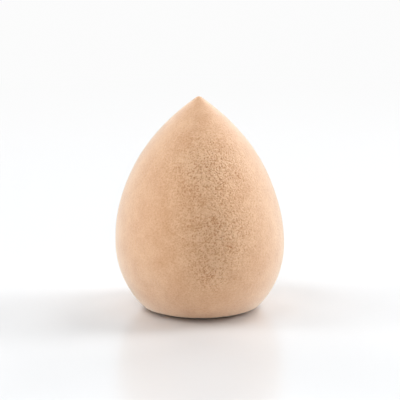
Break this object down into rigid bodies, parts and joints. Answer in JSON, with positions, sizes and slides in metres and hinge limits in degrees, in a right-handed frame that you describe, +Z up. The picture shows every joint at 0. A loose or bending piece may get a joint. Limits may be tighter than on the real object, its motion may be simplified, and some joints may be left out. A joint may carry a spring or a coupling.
{
  "type": "makeup sponge",
  "caption": "Teardrop makeup sponge of soft peach beige foam, with a pointed tip, a round belly and a trimmed flat foot that it stands on.",
  "frame": {"origin": "centre of the foot's flat, on the surface that the sponge stands on", "axes": "+Z up along the teardrop's axis, from the foot to the tip; X and Y are level, and the body is the same all round"},
  "size_m": [0.044, 0.044, 0.0562],
  "materials": {
    "skin_foam": "matte",
    "core_foam": "matte"
  },
  "bodies": {
    "root": {"foam_skin": "skin_foam", "foam_core": "core_foam"}
  },
  "joints": []
}
